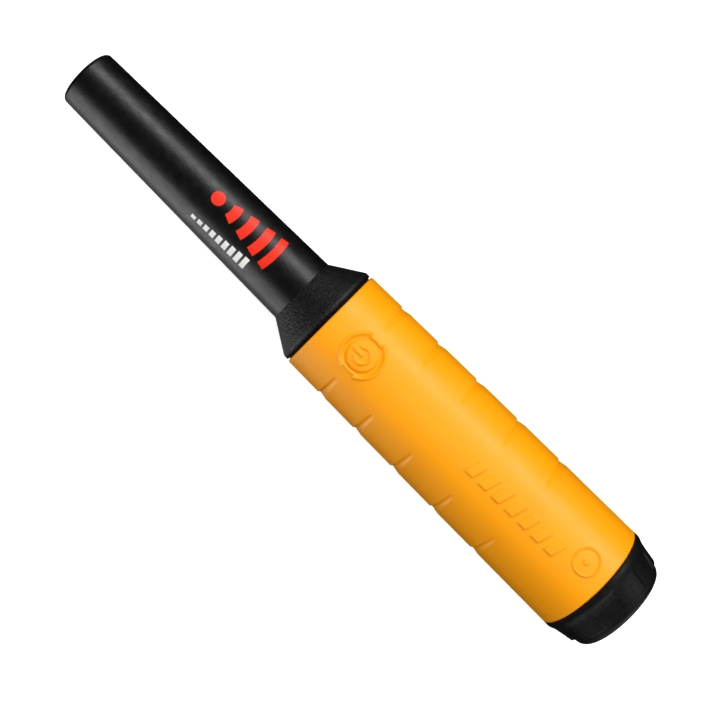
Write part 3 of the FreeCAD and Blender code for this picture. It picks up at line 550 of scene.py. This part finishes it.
def nose_cone():
    """Flared cone with a soft rim. A step behind the rim makes the shadow line before the rubber."""
    neck, bore = reach("nose_ring") - 0.01, TUBE_SPIGOT_RADIUS + 0.03
    ring_u = (station("nose_ring", 0) + station("nose_ring", 1)) / 2
    groove_start, groove_end, groove_floor = ring_u - 0.64, ring_u + 0.64, neck - 1.1
    outline = [
        (CONE_START, bore, 0),
        (CONE_START, TUBE_RADIUS + 0.02, 0.08),
        (RIM_START, RIM_RADIUS, RIM_ROUNDING),
        (RIM_END, RIM_RADIUS, RIM_EDGE),
        (RIM_END, CONE_FLANGE_RADIUS, 0),
        (GRIP_START, CONE_FLANGE_RADIUS, 0),
        (GRIP_START, neck, 0),
        (groove_start, neck, 0.1),
        (groove_start, groove_floor, 0),
        (groove_end, groove_floor, 0),
        (groove_end, neck, 0.1),
        (station("nose_cone", 1), neck, 0.3),
        (station("nose_cone", 1), CONE_COUNTERBORE, 0),
        (CONE_COUNTERBORE_START, CONE_COUNTERBORE, 0),
        (CONE_COUNTERBORE_START, bore, 0),
        (CONE_START + 0.01, bore, 0),
    ]
    vertices, faces = turned(outline, step=1.5, closed=True)
    piece = new_piece("nose_cone_skin", "handle", "cone_abs", vertices, faces)
    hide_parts("nose_cone")


# ---- grip ----------------------------------------------------------------------------------------
def grip_radius(u):
    stations, radii = zip(*GRIP_RADII)
    return np.interp(u, stations, radii)


def notch_relief(u, angle):
    """Shallow troughs round both flanks: a steep wall on the side of the tip and a gentle ramp back out.
    They grow deeper and longer from the top down to the side, and fade out towards the underside."""
    off_top = np.abs(np.degrees(angle))
    share = smooth(off_top, *NOTCH_GROWTH)
    length = NOTCH_RAMP_SHORT + (NOTCH_RAMP_LONG - NOTCH_RAMP_SHORT) * share
    hollow = np.zeros_like(u)
    for middle in NOTCHES:
        wall = np.interp(u - middle, NOTCH_WALL, (0, 1))
        ramp = 1 - np.clip((u - middle - NOTCH_RAMP_START) / length, 0, 1)
        hollow = np.maximum(hollow, wall * ramp)
    deepest = NOTCH_DEPTH * (NOTCH_TOP_SHARE + (1 - NOTCH_TOP_SHARE) * share)
    return -deepest * hollow * smooth(off_top, *NOTCH_TOP_FADE) * smooth(off_top, *NOTCH_LOW_FADE)


def surround_relief(p, q):
    """Raised rounded ring about the button, set back in a notch on either side, over a groove round the
    key. p and q are measured from the button's middle."""
    out = np.hypot(p, q)
    edge = 0.2
    notch = smooth(np.abs(p), SURROUND_NOTCH_HALF_WIDTH + edge, SURROUND_NOTCH_HALF_WIDTH - edge)
    foot = SURROUND_FOOT - SURROUND_NOTCH_INSET * notch
    crest = SURROUND_CREST - SURROUND_NOTCH_INSET * 0.7 * notch
    inside = SURROUND_INSIDE - 0.3 * notch
    height = RELIEF * (1 - 0.3 * notch)
    inner = smooth(out, crest, inside)
    return height * smooth(out, foot, crest) * (1 - inner) - KEY_GROOVE * inner


def bar_relief(u, y):
    """The row of slanted raised bars."""
    lean = (y + BAR_HALF_WIDTH) / (2 * BAR_HALF_WIDTH) * BAR_SLANT
    along = u - BAR_START - lean
    index = np.clip(np.floor(along / BAR_PITCH), 0, BAR_COUNT - 1)
    along = along - index * BAR_PITCH
    ramp = 0.3
    across = smooth(np.abs(y), BAR_HALF_WIDTH + 0.05, BAR_HALF_WIDTH - ramp)
    rise = smooth(along, -0.05, ramp)
    return RELIEF * across * rise * smooth(along, BAR_LENGTH + 0.05, BAR_LENGTH - ramp)


def ring_relief(u, y):
    """A raised ring with a dot in its middle."""
    out = np.hypot(u - RING_U, y - RING_SIDE)
    ramp = 0.25
    ring = smooth(out, RING_RADIUS + 0.05, RING_RADIUS - ramp)
    ring = ring * smooth(out, RING_RADIUS - RING_LINE - 0.05, RING_RADIUS - RING_LINE + ramp)
    dot = smooth(out, 1.1, 0.8)
    return RELIEF * np.maximum(ring, dot)


def rest_radius(u, angle, plain):
    """The flat moulded along the underside, which the probe lies on, blended into the round."""
    down = -np.cos(angle)
    flat = REST_DROP / np.maximum(down, 0.3)
    side = np.abs(flat * np.sin(angle))
    share = (down > 0.3) * smooth(side, REST_HALF_WIDTH, REST_HALF_WIDTH - REST_EDGE)
    share = share * smooth(u, REST_START, REST_START + REST_EDGE)
    share = share * smooth(u, REST_END, REST_END - REST_EDGE)
    return plain + np.maximum(flat - plain, 0) * share


def end_rounding(inside_end, rounding):
    """How far the radius falls, at a distance inside an end that is rounded off."""
    return rounding - np.sqrt(np.maximum(rounding ** 2 - np.maximum(rounding - inside_end, 0) ** 2, 0))


def grip_sleeve():
    """Rubber sleeve with all its moulded relief in the mesh."""
    stations = spaced((GRIP_START, GRIP_START + 1, 0.1), (GRIP_START + 1, 114, 0.6), (114, 130.4, 0.17),
                      (130.4, 167.4, 0.6), (167.4, 219.2, 0.26), (219.2, GRIP_END, 0.45))
    steps = spaced((*NOTCH_WALL, 0.12), (NOTCH_WALL[1], NOTCH_RAMP_START, 0.2),
                   (NOTCH_RAMP_START, NOTCH_RAMP_START + NOTCH_RAMP_LONG, 0.18))
    for middle in NOTCHES:
        outside = (stations < middle + steps[0] - 0.05) | (stations > middle + steps[-1] + 0.05)
        stations = np.concatenate([stations[outside], middle + steps])
    stations = np.sort(stations)
    side = math.radians(27)
    foot = math.pi - math.radians(21)
    angles = spaced((-side, side, 0.0095), (side, foot, 0.045), (foot, 2 * math.pi - foot, 0.026),
                    (2 * math.pi - foot, 2 * math.pi - side, 0.045))[:-1]
    angle, u = np.meshgrid(np.where(angles > math.pi, angles - 2 * math.pi, angles), stations)
    plain = grip_radius(u)
    y = plain * np.sin(angle)
    top = np.cos(angle) > 0
    radius = rest_radius(u, angle, plain) + notch_relief(u, angle)
    radius = radius + top * surround_relief(u - BUTTON_U, y) * (np.hypot(u - BUTTON_U, y) < 9)
    radius = radius + top * (bar_relief(u, y) + ring_relief(u, y))
    radius = radius - end_rounding(u - GRIP_START, GRIP_FRONT_ROUNDING)
    radius = radius - end_rounding(GRIP_END - u, GRIP_REAR_ROUNDING)
    rows = [around(stations[i], radius[i], angle[i]) for i in range(len(stations))]
    lip = 0.5
    for at, outwards in ((GRIP_END, lip), (GRIP_END, 0), (GRIP_START, 0), (GRIP_START, lip)):
        rows.append(around(at, grip_radius(at) - GRIP_SKIN + outwards, angle[0]))
    vertices, faces = loft(rows, closed=True)
    piece = new_piece("grip_sleeve_skin", "handle", "grip_rubber", vertices, faces, 50)
    pocket_radius, pocket_top = FLANGE_RADIUS + 3 * FLANGE_PLAY, FLANGE_TOP + FLANGE_PLAY
    cut_hole(piece, BUTTON_U, ((pocket_radius, FLANGE_BOTTOM - 3), (pocket_radius, pocket_top),
                               (HOLE_RADIUS, pocket_top), (HOLE_RADIUS, GRIP_RADII[-1][1] + 2)))
    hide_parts("grip_sleeve")


def symbol_relief(p, q, out):
    """The raised power sign: an open ring, and a bar that points at the tip through the opening."""
    line, ring_radius, open_half, flank = 0.4, 2.5, 1.6, 0.32
    ring = smooth(np.abs(out - ring_radius), line + flank, line - flank)
    ring = ring * np.maximum(smooth(np.abs(q), open_half - 0.15, open_half + 0.15), p > 0)
    bar = smooth(np.abs(q), line + flank, line - flank) * smooth(p, -4.15, -3.7) * smooth(p, 0.45, -0.1)
    return SYMBOL_HEIGHT * np.maximum(ring, bar)


def button_pad():
    """Rubber key: its top follows the grip and falls away at the edge, over a hidden flange."""
    columns = 240
    turn = np.linspace(0, 2 * math.pi, columns, endpoint=False)
    rows = []
    for out in spaced((NEAR_AXIS, 4.3, 0.075), (4.3, KEY_RADIUS, 0.06)):
        p, q = out * np.cos(turn), out * np.sin(turn)
        height = np.sqrt(grip_radius(BUTTON_U + p) ** 2 - q ** 2) + KEY_CROWN + symbol_relief(p, q, out)
        height = height - (KEY_CROWN + KEY_GROOVE) * smooth(out, 4.5, 5.25)
        rows.append(upright(BUTTON_U, out, height, turn))
    for out, height in ((KEY_RADIUS, FLANGE_TOP), (FLANGE_RADIUS, FLANGE_TOP),
                        (FLANGE_RADIUS, FLANGE_BOTTOM), (KEY_RADIUS / 2, FLANGE_BOTTOM)):
        rows.append(upright(BUTTON_U, out, height, turn))
    vertices, faces = loft(rows)
    piece = new_piece("button_pad_skin", "button", "grip_rubber", vertices, faces, 50)
    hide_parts("button_pad")


# ---- battery cap ---------------------------------------------------------------------------------
def thread_height(u, angle):
    """Height of the cap's thread over its spigot: a ridge that climbs one lead in each turn."""
    turned_by = np.mod(-angle, 2 * math.pi) / (2 * math.pi)
    height = np.zeros_like(u)
    for lap in range(math.ceil(THREAD_TURNS)):
        done = turned_by + lap
        off = np.abs(u - THREAD_START - THREAD_LEAD * done)
        ridge = np.clip((0.95 - off) / 0.65, 0, 1) * smooth(done, THREAD_TURNS, THREAD_TURNS - 0.06)
        height = np.maximum(height, ridge * smooth(done, 0, 0.06))
    return height


def cap_radius(u, angle):
    """The cap's outside: a smooth skirt that turns into raised ribs, which end short of the rear rim.
    The outline between the ribs and the one over their crests are given at stations along the cap."""
    hollow = np.interp(u, (CAP_START, 224.6, 225.4, 226.6, 228.5, 231.0, 234.5, 236.0, LENGTH),
                       (20.15, 20.15, 19.92, 19.25, 18.45, 17.95, 17.2, 16.9, 16.65))
    crest = np.interp(u, (CAP_START, 224.6, 225.4, 226.4, 227.5, 229.6, 233.4, LENGTH),
                      (20.15, 20.15, 19.94, 19.5, 19.24, 18.85, 18.22, 17.6))
    period = 2 * math.pi / RIB_COUNT
    off = np.abs(np.mod(angle - RIB_PHASE + period / 2, period) - period / 2)
    rib = smooth(off, RIB_HALF_ANGLE + 0.02, RIB_HALF_ANGLE - 0.015) * smooth(u, 233.75, 233.3)
    return hollow + np.maximum(crest - hollow, 0) * rib


def battery_cap():
    """Ribbed cap, its rounded rear and its hollow threaded spigot."""
    columns = 360
    angles = np.linspace(0, 2 * math.pi, columns, endpoint=False)
    rows = []

    def add_rings(*rings):
        for u, r in rings:
            rows.append(around(u, r, angles))

    add_rings((CAP_POCKET_FLOOR, NEAR_AXIS), (CAP_POCKET_FLOOR, CAP_POCKET_RADIUS),
              (CAP_POCKET_LEDGE, CAP_POCKET_RADIUS), (CAP_POCKET_LEDGE, SPIGOT_BORE),
              (SPIGOT_START, SPIGOT_BORE), (SPIGOT_START, SPIGOT_TIP_RADIUS))
    for u in spaced((SPIGOT_START + 0.2, SEAL_GROOVE_START, 0.14)):
        add_rings((u, SPIGOT_RADIUS + thread_height(np.full(columns, u), angles)))
    add_rings((SEAL_GROOVE_START, SEAL_GROOVE_RADIUS), (SEAL_GROOVE_END, SEAL_GROOVE_RADIUS),
              (SEAL_GROOVE_END, SPIGOT_RADIUS), (CAP_START, SPIGOT_RADIUS),
              (CAP_START, CAP_MOUTH_RADIUS))
    for u in spaced((CAP_START + 0.12, 228, 0.22), (228, 233.1, 0.35), (233.1, 234, 0.09),
                    (234, LENGTH - CAP_ROUNDING, 0.3)):
        add_rings((u, cap_radius(np.full(columns, u), angles)))
    edge = cap_radius(LENGTH - CAP_ROUNDING, angles)
    steps = 12
    for k in range(1, steps + 1):
        turn = math.pi / 2 * k / steps
        u = LENGTH - CAP_ROUNDING + CAP_ROUNDING * math.sin(turn)
        add_rings((u, edge - CAP_ROUNDING * (1 - math.cos(turn))))
    groove_depth = 0.35
    add_rings((LENGTH, 13.6), (LENGTH - groove_depth, 13.3), (LENGTH - groove_depth, 12.7),
              (LENGTH, 12.4), (LENGTH, NEAR_AXIS))
    vertices, faces = loft(rows)
    piece = new_piece("battery_cap_skin", "cap", "cap_abs", vertices, faces, 42)
    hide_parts("battery_cap")


# ---- printed marks on the tube -------------------------------------------------------------------
INK = 0.03


def tube_radius(u):
    return TIP_RADIUS + (TUBE_RADIUS - TIP_RADIUS) * u / CONE_START


def wrapped(patches, middle_angle):
    """Vertices and faces of thin closed patches laid on the tube. Each patch is a grid of (u, s) points,
    with s the distance round the tube from middle_angle, towards +Y."""
    vertices, faces = [], []
    for patch in patches:
        u, s = patch[..., 0], patch[..., 1]
        rows, columns = u.shape
        radius = tube_radius(u)
        angle = middle_angle + s / radius
        first = len(vertices)
        for lift in (INK, -INK):
            layer = np.stack([u, (radius + lift) * np.sin(angle), (radius + lift) * np.cos(angle)], -1)
            vertices += layer.reshape(-1, 3).tolist()
        size = rows * columns
        top = grid_faces(rows, columns, first, wrap=False)
        faces += top + [tuple(v + size for v in reversed(face)) for face in top]
        rim = [j for j in range(columns)] + [i * columns + columns - 1 for i in range(1, rows)]
        rim += [size - 1 - j for j in range(1, columns)] + [i * columns for i in range(rows - 2, 0, -1)]
        for a, b in zip(rim, rim[1:] + rim[:1]):
            faces.append((first + a, first + b, first + b + size, first + a + size))
    return vertices, faces


def sector(u, inner, outer, half_angle):
    """A grid over part of a ring about (u, 0), which opens towards the cap."""
    out, turn = np.meshgrid(np.linspace(inner, outer, 8), np.linspace(-half_angle, half_angle, 40))
    return np.stack([u + out * np.cos(turn), out * np.sin(turn)], -1)


def bar(u, width, height):
    along, across = np.meshgrid(np.linspace(u, u + width, 5), np.linspace(0, height, 14))
    return np.stack([along, across], -1)


def printed_marks():
    """A red dot that sends out growing arcs, over a white row of rising level bars."""
    source, dot_radius, nearly_whole = 57.3, 2.3, math.pi * 0.999
    arcs = ((5.2, 8.4, 3.3), (11.2, 14.4, 4.4), (17.2, 20.4, 5.4), (22.6, 25.4, 6.2))
    red = [sector(source, NEAR_AXIS, dot_radius, nearly_whole)]
    for inner, outer, half_height in arcs:
        red.append(sector(source, inner, outer, math.asin(half_height / outer)))
    first, pitch, width, shortest, growth, count = 54.6, 2.62, 1.75, 1.3, 0.37, 9
    white = [bar(first + pitch * k, width, shortest + growth * k) for k in range(count)]
    for name, patches, middle, colour in (
        ("signal_mark", red, math.radians(14), srgb(230, 38, 4)),
        ("level_mark", white, math.radians(-42), srgb(236, 236, 234)),
    ):
        vertices, faces = wrapped(patches, middle)
        new_piece(name, "handle", "tube_abs", vertices, faces, material=printed(name, colour))


probe_tube()
nose_cone()
grip_sleeve()
button_pad()
battery_cap()
printed_marks()


# ---- stage, light and camera ---------------------------------------------------------------------
def stage():
    """Plain pale floor that sweeps up into walls and a ceiling. It is lit from within like a light table,
    so that shadows on it stay faint, and it lights nothing itself."""
    reach_out, ceiling, sweep = 3000, 2600, 1000
    outline = [(1, 0, 0), (reach_out, 0, sweep), (reach_out, ceiling, sweep), (1, ceiling, 0)]
    angles = np.linspace(0, 2 * math.pi, 96, endpoint=False)
    rows = []
    for radius, height in rounded(outline, 12):
        rows.append(upright(LENGTH / 2, radius, height - REST_DROP, angles))
    floor = new_object("floor", *loft(rows))
    surface = Surface("floor", (0.87, 0.87, 0.87), 0.9)
    surface.shader.inputs["Emission Color"].default_value = (1, 1, 1, 1)
    surface.vary_colour(60, (0.89, 0.89, 0.89), 0.4)
    away = surface.node("ShaderNodeVectorMath", operation="LENGTH")
    surface.link(surface.place, away.inputs[0])
    near, far, dim, bright = 0.4, 1.3, 0.6, 0.97
    glow = surface.remap(away.outputs["Value"], near, far, dim, bright)
    surface.link(glow, surface.shader.inputs["Emission Strength"])
    surface.material.cycles.emission_sampling = "NONE"
    floor.data.shade_smooth()
    floor.data.materials.append(surface.material)
    floor.visible_glossy = False
    floor.visible_diffuse = False
    floor.visible_shadow = False


def area_light(name, angle, distance, size, power, along=0.0):
    """A soft panel at that angle from the vertical towards +Y, which faces the probe's axis. Its size is
    given along the probe and across it."""
    light = bpy.data.lights.new(name, "AREA")
    light.shape = "RECTANGLE"
    light.size, light.size_y = size
    light.energy = power
    lamp = bpy.data.objects.new(name, light)
    turn = math.radians(angle)
    lamp.location = (along, distance * math.sin(turn), AXIS_Z + distance * math.cos(turn))
    lamp.rotation_euler = Matrix((
        (1, 0, 0), (0, math.cos(turn), math.sin(turn)), (0, -math.sin(turn), math.cos(turn)),
    )).to_euler()
    lamp.visible_camera = False
    bpy.context.scene.collection.objects.link(lamp)
    return lamp


def lights():
    """A strip light over one shoulder makes the long highlight. Low cards beside the nose and behind the
    cap show only as reflections, and two broad fills only as soft light. The last one faces the cap."""
    area_light("key", 51, 0.8, (1.3, 0.3), 7.5)
    area_light("nose_side", -84, 0.42, (0.28, 0.46), 1.3, -0.16).visible_diffuse = False
    area_light("table_glow", -132, 0.42, (0.28, 0.4), 0.1, -0.16).visible_diffuse = False
    area_light("cap_side", -80, 0.3, (0.2, 0.3), 0.5, 0.45).visible_diffuse = False
    area_light("side_fill", -75, 1.0, (0.8, 0.5), 7.0, -0.8).visible_glossy = False
    area_light("overhead", 2, 0.8, (1.3, 0.8), 6.2).visible_glossy = False
    area_light("rear_fill", 0, 0, (0.5, 0.5), 2.2, 0.9).rotation_euler = (0, math.radians(90), 0)
    world = bpy.data.worlds.new("studio")
    bpy.context.scene.world = world
    world.use_nodes = True
    background = world.node_tree.nodes["Background"]
    background.inputs["Color"].default_value = (1, 1, 1, 1)
    background.inputs["Strength"].default_value = 0.04
    world.cycles_visibility.glossy = False
    bpy.context.scene.view_settings.view_transform = "Standard"


def camera():
    """Looks almost straight down on the button, with the probe running from upper left to lower right."""
    distance, foot_u = 424.6, 107.0
    roll, look_aft, look_side = math.radians(3.0), math.radians(1.697), math.radians(0.331)
    picture_turn = math.radians(44.83)
    down = Vector((0, -math.sin(roll), -math.cos(roll)))
    side = Vector((0, -math.cos(roll), math.sin(roll)))
    aft = Vector((1, 0, 0))
    eye = Vector((TIP_X + foot_u * MM, 0, AXIS_Z)) - down * distance * MM
    view = (down * math.cos(look_aft) + aft * math.sin(look_aft)) * math.cos(look_side)
    view = (view + side * math.sin(look_side)).normalized()
    along = (aft - view * aft.dot(view)).normalized()
    across = (side - view * side.dot(view) - along * side.dot(along)).normalized()
    right = along * math.cos(picture_turn) - across * math.sin(picture_turn)
    up = -(along * math.sin(picture_turn) + across * math.cos(picture_turn))
    data = bpy.data.cameras.new("camera")
    data.lens = 69.03
    data.sensor_width = 36.0
    data.clip_start = 0.01
    viewer = bpy.data.objects.new("camera", data)
    turn = Matrix((right, up, -view)).transposed().to_4x4()
    viewer.matrix_world = Matrix.Translation(eye) @ turn
    bpy.context.scene.collection.objects.link(viewer)
    bpy.context.scene.camera = viewer


stage()
lights()
camera()
